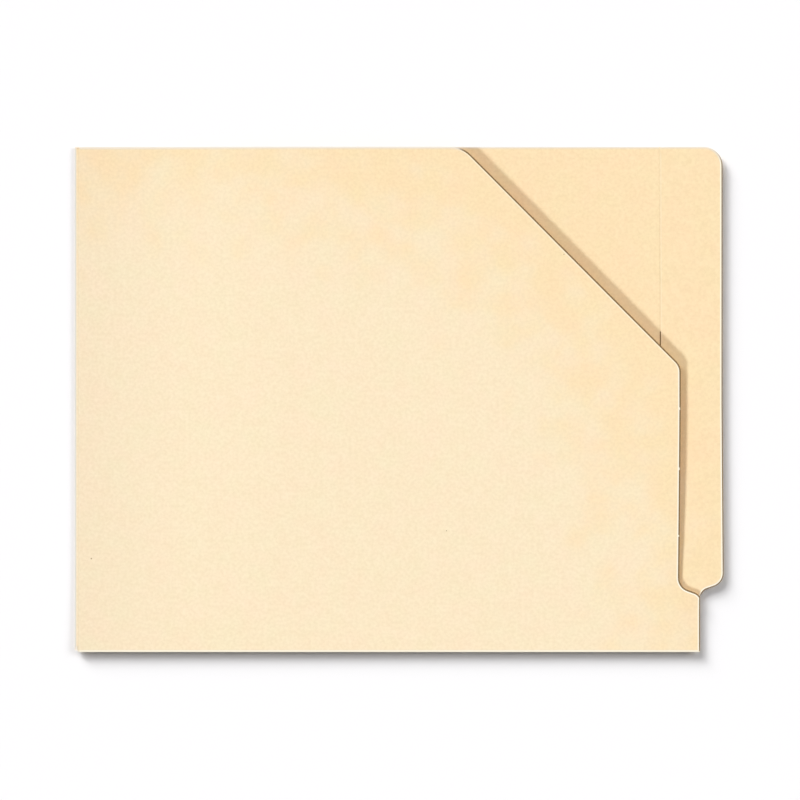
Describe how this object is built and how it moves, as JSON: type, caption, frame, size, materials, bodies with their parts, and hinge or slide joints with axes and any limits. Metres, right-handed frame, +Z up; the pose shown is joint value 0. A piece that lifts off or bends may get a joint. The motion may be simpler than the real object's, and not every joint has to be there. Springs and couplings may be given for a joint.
{
  "type": "diagonal pocket folder",
  "caption": "Flat manila file pocket open at the top and right, with a diagonal-cut front panel whose free corner bends open, a glued side seam and a reinforced end tab.",
  "frame": {"origin": "middle of the folder's outline, on the surface that it lies on", "axes": "+X along the bottom edge towards the end tab, +Y from the bottom fold to the open top, +Z up out of the front panel"},
  "size_m": [0.3095, 0.2414, 0.0081],
  "materials": {
    "manila_stock": "uncoated, calendered manila card",
    "dried_glue": "thin dried film"
  },
  "bodies": {
    "pocket": {"back_panel": "manila_stock", "tab_reinforcement": "manila_stock", "tab_glue": "dried_glue", "bottom_fold": "manila_stock", "side_fold": "manila_stock", "side_flap": "manila_stock", "seam_glue": "dried_glue", "front_panel": "manila_stock"},
    "free_corner": {"front_free_corner": "manila_stock"}
  },
  "joints": [
    {"name": "front_bend", "type": "hinge", "parent": "pocket", "child": "free_corner", "pos_m": [0.0385, 0.02455, 0.00658], "axis": [0.707, -0.7072, 0], "range_deg": [-5, 40], "stiffness_Nm_per_rad": 0.03, "springref_deg": 1.52}
  ]
}
